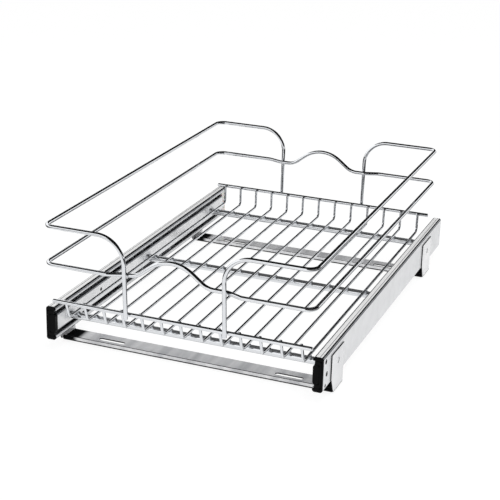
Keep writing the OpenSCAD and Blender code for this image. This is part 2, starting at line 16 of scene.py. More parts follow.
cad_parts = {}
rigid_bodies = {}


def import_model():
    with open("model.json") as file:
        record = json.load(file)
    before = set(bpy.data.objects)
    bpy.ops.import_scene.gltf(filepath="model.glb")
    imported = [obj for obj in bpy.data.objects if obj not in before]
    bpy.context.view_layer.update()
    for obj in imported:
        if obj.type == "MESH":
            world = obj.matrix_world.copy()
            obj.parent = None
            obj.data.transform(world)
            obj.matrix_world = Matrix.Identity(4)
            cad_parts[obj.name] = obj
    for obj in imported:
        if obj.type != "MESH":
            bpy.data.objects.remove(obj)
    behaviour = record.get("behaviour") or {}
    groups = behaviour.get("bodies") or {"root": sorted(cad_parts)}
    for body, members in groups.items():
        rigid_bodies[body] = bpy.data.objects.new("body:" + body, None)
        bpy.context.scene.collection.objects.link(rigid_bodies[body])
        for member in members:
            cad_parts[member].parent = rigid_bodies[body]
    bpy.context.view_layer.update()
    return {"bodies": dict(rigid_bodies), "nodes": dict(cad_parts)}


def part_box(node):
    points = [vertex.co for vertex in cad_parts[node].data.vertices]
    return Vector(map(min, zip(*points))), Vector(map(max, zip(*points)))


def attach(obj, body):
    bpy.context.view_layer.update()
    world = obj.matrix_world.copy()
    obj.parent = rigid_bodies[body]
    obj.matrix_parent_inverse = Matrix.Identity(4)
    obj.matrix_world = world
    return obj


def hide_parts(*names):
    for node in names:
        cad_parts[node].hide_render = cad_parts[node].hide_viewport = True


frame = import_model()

MM = 0.001

# %% [markdown]
# ## Sizes
# The wires' diameters and bend radii are those of the solids, so each new wire runs where its solid
# runs. Their places are read from the boxes of the solids, so that they stay true if the basket
# is made wider or deeper.

# %% Sizes of the wires
RAIL_D = 5.3 * MM
FENCE_D = 5.2 * MM
FLOOR_D = 3.7 * MM
ROD_D = 9.2 * MM
CORNER_R = 12 * MM
HOOP_R = 34 * MM
POST_X = 64.1 * MM
FRONT_POST_SHIFT = -2.5 * MM
FLOOR_BEND_R = 8 * MM
JOGGLE_R = 12 * MM
CREST_R = 44 * MM
VALLEY_R = 25 * MM
GRIP_SLOPE = radians(38)
GRIP_SHIFT = -7.5 * MM

hoop_low, hoop_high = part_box("top_hoop_left")
rail_low, rail_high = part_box("mid_rail")
fences = [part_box(n) for n in ("front_fence_wire", "rear_fence_wire")]
fence_ys = [sum(c.y for c in box) / 2 for box in fences]
fence_zs = [sum(c.z for c in box) / 2 for box in fences]
fence_end_x = fences[0][1].x
rail_x = rail_high.x - RAIL_D / 2
rail_ys = [hoop_low.y + RAIL_D / 2, hoop_high.y - RAIL_D / 2]
top_z = hoop_high.z - RAIL_D / 2
mid_z = rail_low.z + RAIL_D / 2
print("rails at x +-%.1f, y %.1f and %.1f, z %.1f and %.1f mm" % tuple(
    v / MM for v in (rail_x, *rail_ys, mid_z, top_z)))

# %% [markdown]
# ## Helpers for colours and nodes
# A finish is written as the colour that the eye sees, in sRGB hex, and one function turns it into
# the linear values that the renderer works in. Another adds a node with its settings and with the
# sockets that it reads. A finish starts as an empty tree with the Object coordinates, which are
# true sizes in metres, and ends in one Principled shader.

# %% Colours and nodes
def colour(hex_code):
    """The linear colour of an sRGB hex code"""
    parts = [int(hex_code[i:i + 2], 16) / 255 for i in (1, 3, 5)]
    return tuple(p / 12.92 if p <= 0.04045 else ((p + 0.055) / 1.055) ** 2.4 for p in parts) + (1.0,)


def add_node(tree, kind, reads=None, **settings):
    """Adds a node; settings are its properties or the values of its inputs

    The keys of reads are the names or numbers of inputs. Each reads a socket, or the first output
    of a node, or holds a plain value.
    """
    node = tree.nodes.new(kind)
    for key, value in settings.items():
        if hasattr(node, key):
            setattr(node, key, value)
        else:
            name = key.replace("_", " ").lower()
            next(s for s in node.inputs if s.name.lower() == name and s.enabled).default_value = value
    for key, source in (reads or {}).items():
        socket = node.inputs[key] if isinstance(key, int) else next(
            s for s in node.inputs if s.name == key and s.enabled)
        if isinstance(source, bpy.types.Node):
            source = source.outputs[0]
        if isinstance(source, bpy.types.NodeSocket):
            tree.links.new(source, socket)
        else:
            socket.default_value = source
    return node


def start_finish(name, slot):
    """A material for a slot of the record, its empty node tree and the Object coordinates in it"""
    material = bpy.data.materials.new(name)
    material["slot"] = slot
    material.use_nodes = True
    material.node_tree.nodes.clear()
    place = add_node(material.node_tree, "ShaderNodeTexCoord").outputs["Object"]
    return material, material.node_tree, place


def end_finish(tree, base, reads, **settings):
    """Ends a finish with one Principled shader"""
    shader = add_node(tree, "ShaderNodeBsdfPrincipled", reads, Base_Color=colour(base), **settings)
    add_node(tree, "ShaderNodeOutputMaterial", {"Surface": shader})


def uneven(tree, place, size, detail, gloss, relief=None):
    """What a shader reads where its roughness moves between two values in patches of a real size

    With a relief, which is a strength and a height, the patches also stand up a little.
    """
    noise = add_node(tree, "ShaderNodeTexNoise", {"Vector": place}, Scale=1 / size, Detail=detail)
    reads = {"Roughness": add_node(tree, "ShaderNodeMapRange", {"Value": noise}, To_Min=gloss[0], To_Max=gloss[1])}
    if relief:
        reads["Normal"] = add_node(tree, "ShaderNodeBump", {"Height": noise}, Strength=relief[0], Distance=relief[1])
    return reads


print("paper white is", [round(c, 3) for c in colour("#FFFFFF")[:3]])

# %% [markdown]
# ## Bright chrome plate
# The wires are drawn steel, nickel-plated and chromed. Chrome is a mirror with a faint cool tint.
# Drawing leaves the wire very slightly uneven along its length, and the bath leaves a thin haze, so
# its reflections waver a little. A low roughness that varies and a very shallow bump give that; a
# perfect mirror would look like glass. The thick rods are drawn less finely, so their ripples are
# deeper, and their plate is a little duller.

# %% Chrome
def chrome_finish(name, metallic=1.0, wave=0.15):
    """Chrome with a haze in patches of 9 mm over ripples of 14 mm and the strength wave"""
    material, tree, place = start_finish(name, "chrome")
    reads = uneven(tree, place, 9 * MM, 3.0, (0.02, 0.06))
    ripple = add_node(tree, "ShaderNodeTexNoise", {"Vector": place}, Scale=1 / (14 * MM), Detail=1.0)
    reads["Normal"] = add_node(tree, "ShaderNodeBump", {"Height": ripple}, Strength=wave, Distance=0.2 * MM)
    end_finish(tree, "#DCDEE1", reads, Metallic=metallic)
    return material


chrome = chrome_finish("bright_chrome_plate")
rod_chrome = chrome_finish("rippled_chrome_plate", 0.88, 0.6)
print("chrome for the wires:", chrome.name, "and for the rods:", rod_chrome.name)

# %% [markdown]
# ## Painted shade and highlight that have no thickness
# The dark bands along the top and bottom of the inner members, the dark line at the crease of each
# outer flange and the dark ends of the channels below the slides are painted shade, and the white
# outer flanges are a painted highlight. Each is a region of the finish, not a piece. Its edges are
# soft planes in the Object coordinates, and a region is the union of some groups of edges. The same
# function later shapes the walls of the studio.

# %% Regions
EAST, WEST, NORTH, SOUTH, UP = (1, 0, 0), (-1, 0, 0), (0, 1, 0), (0, -1, 0), (0, 0, 1)


def region(tree, position, *groups):
    """A mask that is 1 inside at least one of the groups of edges, and 0 outside all of them

    An edge is (way, place, width). The mask rises over the width where the position passes the
    place along the way, and falls there if the width is negative. A way may also be a socket.
    """
    union = None
    for group in groups:
        inside = None
        for way, place, width in group:
            if isinstance(way, tuple):
                along = add_node(tree, "ShaderNodeVectorMath", {0: position, 1: way}, operation="DOT_PRODUCT")
                way = along.outputs["Value"]
            step = add_node(tree, "ShaderNodeMapRange", {"Value": way}, interpolation_type="SMOOTHSTEP",
                            From_Min=place - width / 2, From_Max=place + width / 2)
            inside = step if inside is None else add_node(
                tree, "ShaderNodeMath", {0: inside, 1: step}, operation="MULTIPLY")
        union = inside if union is None else add_node(
            tree, "ShaderNodeMath", {0: union, 1: inside}, operation="MAXIMUM")
    return union


inner_low, inner_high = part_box("inner_member_right")
outer_low, outer_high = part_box("outer_member_right")
crease_x = outer_low.x + 0.6 * (outer_high.x - outer_low.x)
# Painted shade: nearly black bands along the top and bottom of the inner members, under the lips of the other
# members
painted_shade_at_races = [[(UP, inner_low.z + 1.6 * MM, -0.4 * MM)], [(UP, inner_high.z - 2.4 * MM, 0.4 * MM)]]
# Painted shade: nearly black ends of the channels where they run below the slides
painted_shade_below_slides = [[(EAST, outer_low.x - 6 * MM, 8 * MM), (EAST, outer_high.x - 0.3 * MM, -0.3 * MM)]]
# Painted shade: a dark line along the crease of the outer members' flanges
painted_crease_shade = [[(EAST, crease_x - 0.4 * MM, 0.3 * MM), (EAST, crease_x + 0.4 * MM, -0.3 * MM)]]
# Painted highlight: the outer members' flanges, painted white
painted_flange_highlight = [[(EAST, outer_low.x + 1.5 * MM, 0.4 * MM), (EAST, outer_high.x - 2.5 * MM, -0.4 * MM)]]
print("the flanges are creased at x +-%.1f mm" % (crease_x / MM))

# %% [markdown]
# ## Plated strip
# The slides and the channels are folded from steel strip. Clear zinc plate is a light grey that
# scatters much of its light, so it is hardly metallic here and keeps its tone in any room. Where
# the balls polish it, and where the strip is drawn round a bend, it is a mirror. The channels are
# chromed over rolled strip, which blurs what they reflect. Rolling leaves fine lines: a noise that
# is stretched along the strip gives them, and a slower one gives a cloud of tone. The lines are
# drawn 0.8 mm wide, which is coarser than real ones, so that they show.

# %% Strip finish
def strip_finish(name, slot, tones, metallic, gloss, grain, cloud=(1.0, 1.0, 1.0), painted_highlight=None, painted_shade=None,
                 painted_shade_tone=None):
    """Plated strip with a grain and a slow cloud of two tones, each stretched by its scale

    The region for the painted highlight is painted white, and the region for the painted shade has the
    plain dull colour of its shade tone, with neither metal nor specular. Both are written for the
    right side of the object and apply to both sides.
    """
    material, tree, place = start_finish(name, slot)
    stretched = add_node(tree, "ShaderNodeMapping", {"Vector": place}, Scale=grain)
    reads = uneven(tree, stretched, 0.8 * MM, 4.0, gloss, (0.15, 0.02 * MM))
    slow = add_node(tree, "ShaderNodeMapping", {"Vector": place}, Scale=cloud)
    patches = add_node(tree, "ShaderNodeTexNoise", {"Vector": slow}, Scale=1 / (18 * MM), Detail=4.0)
    share = add_node(tree, "ShaderNodeMapRange", {"Value": patches}, From_Min=0.35, From_Max=0.65)
    layers = [(share, tones[1])]
    if painted_highlight or painted_shade:
        one_side = add_node(tree, "ShaderNodeVectorMath", {0: place}, operation="ABSOLUTE")
    if painted_highlight:
        # Painted highlight: this region is painted white
        layers.append((region(tree, one_side, *painted_highlight), "#FFFFFF"))
    if painted_shade:
        # Painted shade: this region gets the shade tone, without metal or specular
        painted_shade_share = region(tree, one_side, *painted_shade)
        layers.append((painted_shade_share, painted_shade_tone))
        plain = add_node(tree, "ShaderNodeMath", {0: 1.0, 1: painted_shade_share}, operation="SUBTRACT")
        for socket, value in (("Metallic", metallic), ("Specular IOR Level", 0.5)):
            reads[socket] = add_node(tree, "ShaderNodeMath", {0: plain, 1: value}, operation="MULTIPLY")
    tone = colour(tones[0])
    for mask, layer in layers:
        tone = add_node(tree, "ShaderNodeMix", {0: mask, 6: tone, 7: colour(layer)}, data_type="RGBA").outputs[2]
    reads["Base Color"] = tone
    end_finish(tree, tones[0], reads, Metallic=metallic)
    return material


ALONG_SLIDE, ALONG_CHANNEL = (1.0, 0.02, 1.0), (0.02, 1.0, 1.0)
print("grain along the slides:", ALONG_SLIDE, "and along the channels:", ALONG_CHANNEL)

# %% [markdown]
# ## The strips of the slides and the channels
# The tabs and the screws have plain zinc. The outer members have a dark line of painted shade where
# the race is pressed into their flanges, and beside it the flanges are painted white, a painted
# highlight. The intermediate members are polished by balls on both sides, and all bends of the slides
# are mirrors in a darker tone, painted shade along each fold. The inner members are rubbed to a soft
# shine, with nearly black bands of painted shade along their top and bottom, under the lips of the
# other members. The channels are satin chrome with nearly black ends below the slides, which are
# painted shade, and their sheared edges, like the narrow faces of the rivets, are painted nearly
# black with little specular, painted shade along each edge.

# %% Zinc, satin chrome and the sheared edge
ZINC_TONES = ("#E4E5E7", "#ECEDEF")
zinc = strip_finish("clear_zinc_plate", "zinc", ZINC_TONES, 0.08, (0.28, 0.4), ALONG_SLIDE)
# The outer members carry a dark line of painted shade at the crease, and flanges painted white, a painted highlight
zinc_painted_crease_and_flange = strip_finish("zinc_plate_painted_crease_shade_and_flange_highlight", "zinc", ZINC_TONES, 0.08, (0.28, 0.4), ALONG_SLIDE,
                            painted_highlight=painted_flange_highlight, painted_shade=painted_crease_shade, painted_shade_tone="#5C5D60")
bright_zinc = strip_finish("polished_zinc_plate", "zinc", ("#D6D8DA", "#E4E5E7"), 1.0, (0.03, 0.08), ALONG_SLIDE)
# Painted shade: the bends are a mirror in a darker tone, which draws a dark line along each fold
painted_bend_shade_zinc = strip_finish("zinc_plate_painted_shade_at_bends", "zinc", ("#74767A", "#84868A"), 1.0, (0.04, 0.08), ALONG_SLIDE)
# The inner members carry nearly black bands of painted shade along their top and bottom
rubbed_zinc = strip_finish("rubbed_zinc_plate", "zinc", ("#E8E9EA", "#F4F4F5"), 0.25, (0.16, 0.26), ALONG_SLIDE,
                           painted_shade=painted_shade_at_races, painted_shade_tone="#08080A")
# The channels' ends below the slides are painted nearly black, painted shade
satin_chrome = strip_finish("satin_chrome_plate", "chrome", ("#CFD0D3", "#FAFAFB"), 0.3, (0.18, 0.3),
                            ALONG_CHANNEL, cloud=(1.0, 0.1, 0.1), painted_shade=painted_shade_below_slides, painted_shade_tone="#131415")

# Painted shade: narrow faces painted nearly black with little specular, which draws a dark line along each edge
painted_dark_edge, tree, place = start_finish("narrow_faces_painted_dark", "chrome")
end_finish(tree, "#0E0F10", uneven(tree, place, 0.5 * MM, 2.0, (0.5, 0.7)), Specular_IOR_Level=0.1)
print("strip finishes:", ", ".join(m.name for m in (
    zinc, zinc_painted_crease_and_flange, bright_zinc, painted_bend_shade_zinc, rubbed_zinc, satin_chrome, painted_dark_edge)))

# %% [markdown]
# ## Moulded plastic
# The bumpers and the caps are moulded in black acetal, and the rear stops in acetal of its natural
# white. Both have a fine grain from the mould, drawn here at 0.6 mm so that it shows, which breaks
# up their gloss. The black hardly shines, so its specular level is low. Light enters the white one
# and comes out beside where it entered, which subsurface scattering gives.

# %% Plastic
GRAIN = 0.6 * MM
ACETAL_IOR = 1.48
plastic, tree, place = start_finish("black_acetal", "black_plastic")
reads = uneven(tree, place, GRAIN, 2.0, (0.28, 0.42), (0.2, 0.03 * MM))
end_finish(tree, "#030304", reads, IOR=ACETAL_IOR, Specular_IOR_Level=0.08)

natural_plastic, tree, place = start_finish("natural_acetal", "natural_plastic")
reads = uneven(tree, place, GRAIN, 2.0, (0.32, 0.48))
end_finish(tree, "#E9E8E3", reads, IOR=ACETAL_IOR, Subsurface_Weight=0.3, Subsurface_Scale=2 * MM)
print("plastics:", plastic.name, "and", natural_plastic.name)

# %% [markdown]
# ## Polished and greased steel
# The balls are polished bearing steel, and the ball retainers are plain strip with a film of
# grease, which darkens it and lies unevenly, so its gloss comes and goes.

# %% Steels
ball_steel, tree, place = start_finish("polished_bearing_steel", "ball_steel")
end_finish(tree, "#D9DBDF", uneven(tree, place, 1.5 * MM, 1.0, (0.03, 0.14)), Metallic=1.0)

retainer_steel, tree, place = start_finish("greased_strip_steel", "retainer_steel")
end_finish(tree, "#5C5E63", uneven(tree, place, 6 * MM, 2.0, (0.15, 0.4)), Metallic=1.0)
print("steels:", ball_steel.name, "and", retainer_steel.name)

# %% [markdown]
# ## Finishing a piece
# Every piece ends the same way: its mesh becomes an object at the origin with its finish, rides on
# the body that carries it, and stands for the solids whose surface it replaces.

# %% Finish a piece
def finish_piece(name, bm, material, body, solids=()):
    """Turns a bmesh into a piece of the object"""
    mesh = bpy.data.meshes.new(name)
    bm.to_mesh(mesh)
    bm.free()
    mesh.materials.append(material)
    piece = bpy.data.objects.new(name, mesh)
    bpy.context.scene.collection.objects.link(piece)
    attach(piece, body)
    if solids:
        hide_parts(*solids)
    return piece


def body_of_solid(node):
    """The name of the body that a solid rides on"""
    return next(b for b, e in frame["bodies"].items() if frame["nodes"][node].parent == e)


# %% [markdown]
# ## Bending wire
# A wire bender feeds straight wire and turns it round a die. The same is done here: a ring of edges
# is extruded along each straight and spun round the centre of each bend, so a bend is a true
# arc and the wire keeps its section. Both ends are rounded as cut wire is after tumbling and plating.
# A curve with a bevel would be shorter to write, but its bends are only nearly arcs.

# %% Rings along a wire
RING = 28
END_ROUND = 0.9 * MM


def start_ring(bm, centre, way, diameter):
    """A ring of edges across the direction way"""
    turned = Vector((0, 0, 1)).rotation_difference(way).to_matrix().to_4x4()
    ring = bmesh.ops.create_circle(bm, segments=RING, radius=diameter / 2,
                                   matrix=Matrix.Translation(centre) @ turned)
    return list({edge for vert in ring["verts"] for edge in vert.link_edges})


def next_ring(bm, ring, move, size=1.0):
    """Extrudes the ring by move and scales the new one about its middle"""
    new = bmesh.ops.extrude_edge_only(bm, edges=ring)["geom"]
    verts = [item for item in new if isinstance(item, bmesh.types.BMVert)]
    bmesh.ops.translate(bm, vec=move, verts=verts)
    if size != 1.0:
        middle = sum((v.co for v in verts), Vector()) / len(verts)
        bmesh.ops.scale(bm, vec=(size, size, size), space=Matrix.Translation(-middle), verts=verts)
    chosen = set(verts)
    return [item for item in new if isinstance(item, bmesh.types.BMEdge) and set(item.verts) <= chosen]


def round_end(bm, ring, way, diameter):
    """Closes a wire's end with rounded edges"""
    radius, done, reach = diameter / 2, 1.0, 0.0
    for angle in (25, 50, 72, 90):
        size = (radius - END_ROUND + END_ROUND * cos(radians(angle))) / radius
        step = END_ROUND * sin(radians(angle)) - reach
        ring = next_ring(bm, ring, way * step, size / done)
        done, reach = size, reach + step
    ring = next_ring(bm, ring, way * 0.02 * diameter, 0.3)
    bmesh.ops.edgeloop_fill(bm, edges=ring)


print("each wire has", RING, "sides")

# %% The wire bender
def bend_wire(bm, corners, diameter, closed=False):
    """A wire along corners, each (x, y, z, bend radius); a closed one starts and ends on a straight"""
    points = [Vector(c[:3]) for c in corners]
    ways = [(b - a).normalized() for a, b in zip(points, points[1:])]
    inset = 0.0 if closed else END_ROUND
    at = points[0] + ways[0] * inset
    ring = start_ring(bm, at, ways[0], diameter)
    if not closed:
        round_end(bm, ring, -ways[0], diameter)
    for i, way in enumerate(ways[:-1]):
        corner, next_way, radius = points[i + 1], ways[i + 1], corners[i + 1][3]
        angle = way.angle(next_way)
        stop = corner - way * radius * tan(angle / 2)
        ring = next_ring(bm, ring, stop - at)
        centre = corner + (next_way - way).normalized() * radius / cos(angle / 2)
        spun = bmesh.ops.spin(bm, geom=ring, cent=centre, axis=way.cross(next_way).normalized(), dvec=(0, 0, 0),
                              angle=angle, steps=max(4, round(degrees(angle) / 5)))
        ring = [item for item in spun["geom_last"] if isinstance(item, bmesh.types.BMEdge)]
        at = corner + next_way * radius * tan(angle / 2)
    ring = next_ring(bm, ring, points[-1] - ways[-1] * inset - at)
    if closed:
        bmesh.ops.remove_doubles(bm, verts=bm.verts, dist=0.01 * MM)
    else:
        round_end(bm, ring, ways[-1], diameter)
    for face in bm.faces:
        face.smooth = True
    bmesh.ops.recalc_face_normals(bm, faces=bm.faces)


def wire_piece(name, corners, diameter, solid, closed=False, finish=chrome):
    """A bent wire of the basket that stands for one solid"""
    bm = bmesh.new()
    bend_wire(bm, corners, diameter, closed)
    return finish_piece(name, bm, finish, "basket", [solid])


print("wire ends are rounded by %.1f mm" % (END_ROUND / MM))

# %% [markdown]
# ## The two top hoops
# Each side of the rim is one wire: up a post at the front, round the side, and down a post at the
# rear. The posts lean inward until they touch the fence wires, where they are welded, and run on
# below them by a short tail.

# %% Lean of a post
def lean(across, drop, gap):
    """Angle from the vertical of a line that passes a point across and drop away at the distance gap"""
    return atan(across / drop) - asin(gap / hypot(across, drop))


WELD_GAP = 0.03 * MM
POST_TAILS = (4.5 * MM, 2.5 * MM)
post_touch = (RAIL_D + FENCE_D) / 2 + WELD_GAP
leans = [lean(abs(fence_ys[i] - rail_ys[i]), top_z - fence_zs[i], post_touch) for i in (0, 1)]
post_bottoms = [z - tail for z, tail in zip(fence_zs, POST_TAILS)]
print("posts lean %.2f and %.2f degrees" % tuple(degrees(a) for a in leans))

# %% Top hoops
for side, s in (("left", -1), ("right", 1)):
    front_x = s * POST_X + FRONT_POST_SHIFT
    post_ends = [
        rail_ys[0] + (top_z - post_bottoms[0]) * tan(leans[0]),
        rail_ys[1] - (top_z - post_bottoms[1]) * tan(leans[1]),
    ]
    wire_piece("hoop_wire_" + side, [
        (front_x, post_ends[0], post_bottoms[0], 0),
        (front_x, rail_ys[0], top_z, HOOP_R),
        (s * rail_x, rail_ys[0], top_z, CORNER_R),
        (s * rail_x, rail_ys[1], top_z, CORNER_R),
        (s * POST_X, rail_ys[1], top_z, HOOP_R),
        (s * POST_X, post_ends[1], post_bottoms[1], 0),
    ], RAIL_D, "top_hoop_" + side)
print("hoops: posts reach down to z %.1f and %.1f mm" % (post_bottoms[0] / MM, post_bottoms[1] / MM))

# %% [markdown]
# ## The middle rail
# A closed loop at half height. Behind each post it steps inward by a wire's thickness, so the posts
# stay straight, and in the middle of the front and of the rear it rises into a grip for the hand.

# %% Steps and grips of the middle rail
JOGGLE_GAP = 3 * MM
JOGGLE_LEN = 19 * MM
drop = top_z - mid_z
inner_ys = [
    rail_ys[0] + drop * tan(leans[0]) + (RAIL_D + WELD_GAP) / cos(leans[0]),
    rail_ys[1] - drop * tan(leans[1]) - (RAIL_D + WELD_GAP) / cos(leans[1]),
]
grip_rise = rail_high.z - RAIL_D / 2 - mid_z
apex = grip_rise + CREST_R * (1 / cos(GRIP_SLOPE) - 1)
half_width = apex / tan(GRIP_SLOPE)
print("grip rises %.1f mm over %.0f mm" % (grip_rise / MM, 2 * half_width / MM))

# %% Middle rail
def rail_stretch(out_y, in_y, post_shift, grip_x):
    """The front or rear of the middle rail, from left to right"""
    joggle_in, joggle_out = POST_X + JOGGLE_GAP, POST_X + JOGGLE_GAP + JOGGLE_LEN
    return [
        (-rail_x, out_y, mid_z, CORNER_R),
        (post_shift - joggle_out, out_y, mid_z, JOGGLE_R),
        (post_shift - joggle_in, in_y, mid_z, JOGGLE_R),
        (grip_x - half_width, in_y, mid_z, VALLEY_R),
        (grip_x, in_y, mid_z + apex, CREST_R),
        (grip_x + half_width, in_y, mid_z, VALLEY_R),
        (post_shift + joggle_in, in_y, mid_z, JOGGLE_R),
        (post_shift + joggle_out, out_y, mid_z, JOGGLE_R),
        (rail_x, out_y, mid_z, CORNER_R),
    ]


butt = (-rail_x, sum(fence_ys) / 2, mid_z, 0)
rail = wire_piece("middle_rail", [
    butt,
    *rail_stretch(rail_ys[0], inner_ys[0], FRONT_POST_SHIFT, GRIP_SHIFT),
    *reversed(rail_stretch(rail_ys[1], inner_ys[1], 0, 0)),
    butt,
], RAIL_D, "mid_rail", closed=True)
print(len(rail.data.polygons), "faces in the middle rail")

# %% [markdown]
# ## Fence wires and cross rods
# A fence wire runs across the front and the rear. Three thick rods cross the basket below its
# floor and carry it on the slides. All of them are straight, so each is one extruded ring with
# rounded ends.

# %% Fences and rods
for i, row in enumerate(("front", "rear")):
    ends = [(x, fence_ys[i], fence_zs[i], 0) for x in (-fence_end_x, fence_end_x)]
    wire_piece("fence_" + row, ends, FENCE_D, row + "_fence_wire")
rod_ys = []
for row in ("front", "middle", "rear"):
    low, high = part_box(row + "_cross_rod")
    rod_ys.append((low.y + high.y) / 2)
    rod_z = (low.z + high.z) / 2
    ends = [(x, rod_ys[-1], rod_z, 0) for x in (low.x, high.x)]
    wire_piece("rod_" + row, ends, ROD_D, row + "_cross_rod", finish=rod_chrome)
print("rods at y", [round(y / MM, 1) for y in rod_ys])

# %% [markdown]
# ## Floor wires
# The thirteen floor wires lie on the rods and turn up at both ends, where they lean against the
# fences and are welded. The front turn is far from its fence, so its end leans much more.

# %% Floor wires
FLOOR_TIP = 1.5 * MM
FRONT_TURN, REAR_TURN = 12.6 * MM, 5 * MM
floor_nodes = sorted((n for n in frame["nodes"] if n.startswith("floor_wire_")), key=lambda n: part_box(n)[0].x)
floor_xs = [sum(c.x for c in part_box(n)) / 2 for n in floor_nodes]
floor_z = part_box(floor_nodes[0])[0].z + FLOOR_D / 2
tip_touch = (FLOOR_D + FENCE_D) / 2 + WELD_GAP
bend_ys = [fence_ys[0] + FRONT_TURN, fence_ys[1] - REAR_TURN]
tip_leans = [lean(abs(bend_ys[i] - fence_ys[i]), fence_zs[i] - floor_z, tip_touch) for i in (0, 1)]
tip_rises = [z - floor_z + FLOOR_TIP for z in fence_zs]
for i, (x, node) in enumerate(zip(floor_xs, floor_nodes), 1):
    wire_piece("floor_rib_%d" % i, [
        (x, bend_ys[0] - tip_rises[0] * tan(tip_leans[0]), floor_z + tip_rises[0], 0),
        (x, bend_ys[0], floor_z, FLOOR_BEND_R),
        (x, bend_ys[1], floor_z, FLOOR_BEND_R),
        (x, bend_ys[1] + tip_rises[1] * tan(tip_leans[1]), floor_z + tip_rises[1], 0),
    ], FLOOR_D, node)
print(len(floor_xs), "floor wires, %.2f mm apart" % ((floor_xs[1] - floor_xs[0]) / MM))

# %% [markdown]
# ## Weld beads
# Resistance welding squeezes a little metal out round each crossing, and the plating rounds it off.
# A flattened ball at each crossing, half sunk between the two wires, gives that small bulge. All of
# them are one piece, because none can move on its own.

# %% Weld beads
ROD_BEAD = (6.6 * MM, 5.4 * MM, 2.2 * MM)
TIP_BEAD = (6.2 * MM, 2.2 * MM, 4.4 * MM)
POST_BEAD = (6.4 * MM, 1.6 * MM, 5 * MM)
RAIL_BEAD = (6.4 * MM, 1.8 * MM, 5 * MM)


def add_bead(bm, centre, size):
    """A ball that is stretched to a size along each axis"""
    bead = bmesh.ops.create_uvsphere(bm, u_segments=10, v_segments=6, radius=0.5)
    bmesh.ops.scale(bm, vec=size, verts=bead["verts"])
    bmesh.ops.translate(bm, vec=centre, verts=bead["verts"])


beads = bmesh.new()
for x in floor_xs:
    for y in rod_ys:
        add_bead(beads, (x, y, rod_z + ROD_D / 2), ROD_BEAD)
    for i, s in enumerate((1, -1)):
        y = fence_ys[i] + s * FENCE_D / 2 * cos(tip_leans[i])
        add_bead(beads, (x, y, fence_zs[i] + FENCE_D / 2 * sin(tip_leans[i])), TIP_BEAD)
for s in (-1, 1):
    for i, way in enumerate((-1, 1)):
        x = s * POST_X + (FRONT_POST_SHIFT if i == 0 else 0)
        y = fence_ys[i] + way * FENCE_D / 2 * cos(leans[i])
        add_bead(beads, (x, y, fence_zs[i] + FENCE_D / 2 * sin(leans[i])), POST_BEAD)
        add_bead(beads, (x, inner_ys[i] + way * RAIL_D / 2, mid_z), RAIL_BEAD)
for face in beads.faces:
    face.smooth = True
print(len(beads.verts), "vertices in the weld beads")
finish_piece("weld_beads", beads, chrome, "basket")

# %% [markdown]
# ## Folded and rolled sheet, and the moulded stops
# These pieces have their true shape in the solids, but a real edge is never razor sharp: sheet has
# a sheared edge that tumbling rounds, and a moulding has a draft radius. A copy of each solid is
# merged, its sharp edges are bevelled by a fraction of a millimetre, and its bends are shaded
# smooth, so that each edge catches the light. A bevel modifier on the solid itself would be
# simpler, but the solid is loose triangles, and it has to stay as it is. Bends and sheared edges
# are told from the flat faces by their direction and width, and get finishes of painted shade: a
# darker mirror on the bends of the slides, and nearly black on the narrow faces.

# %% Rounding the edges of a solid's copy
SHEET_T = 1.5 * MM
MERGE = 0.002 * MM


def rounded_copy(name, node, material, edge, bends=None, cut=None):
    """A piece that stands for a solid and has its sharp edges rounded by the radius edge

    The finish bends goes on the faces that are turned away from the axes, and the finish cut on
    those that are narrower than the sheet is thick, where they are given. Both carry painted shade
    here: a darker mirror on the slides' bends, and nearly black on the narrow faces.
    """
    bm = bmesh.new()
    bm.from_mesh(frame["nodes"][node].data)
    bmesh.ops.remove_doubles(bm, verts=bm.verts, dist=MERGE)
    bmesh.ops.dissolve_limit(bm, angle_limit=radians(0.2), verts=bm.verts, edges=bm.edges)
    sharp = [e for e in bm.edges if len(e.link_faces) == 2 and e.calc_face_angle() > radians(40)]
    bmesh.ops.bevel(bm, geom=sharp, offset=edge, offset_type="OFFSET", segments=2, profile=0.5,
                    affect="EDGES", material=-1, clamp_overlap=True)
    for face in bm.faces:
        face.smooth = True
        if cut is not None and face.calc_area() < SHEET_T * max(e.calc_length() for e in face.edges):
            face.material_index = 2
        elif bends is not None and max(map(abs, face.normal)) < cos(radians(5)):
            face.material_index = 1
    for e in bm.edges:
        if len(e.link_faces) == 2 and e.calc_face_angle() > radians(50):
            e.smooth = False
    count = len(bm.faces)
    piece = finish_piece(name, bm, material, body_of_solid(node), [node])
    for other in (bends or material, cut or material):
        piece.data.materials.append(other)
    normals = piece.modifiers.new("Even shading", "WEIGHTED_NORMAL")
    normals.keep_sharp = True
    return count


print("faces narrower than %.1f mm are sheared edges" % (SHEET_T / MM))

# %% Slides, channels, stops and tabs
# The bends of each member get the darker mirror, painted shade
MEMBERS = (("outer_member", 0.2, zinc_painted_crease_and_flange), ("intermediate_member", 0.15, bright_zinc),
           ("inner_member", 0.2, rubbed_zinc))
for side in ("left", "right"):
    for part, edge, finish in MEMBERS:
        count = rounded_copy("slide_%s_%s" % (part, side), "%s_%s" % (part, side), finish, edge * MM, painted_bend_shade_zinc)
        print(part, side, count, "faces")
    for part in ("outer_bumper", "intermediate_bumper", "inner_cap"):
        rounded_copy("moulded_%s_%s" % (part, side), "%s_%s" % (part, side), plastic, 0.3 * MM)
    rounded_copy("moulded_rear_stop_" + side, "rear_stop_" + side, natural_plastic, 0.3 * MM)
    for row in ("front", "middle", "rear"):
        rounded_copy("tab_%s_%s" % (row, side), "%s_rod_tab_%s" % (row, side), zinc, 0.3 * MM)
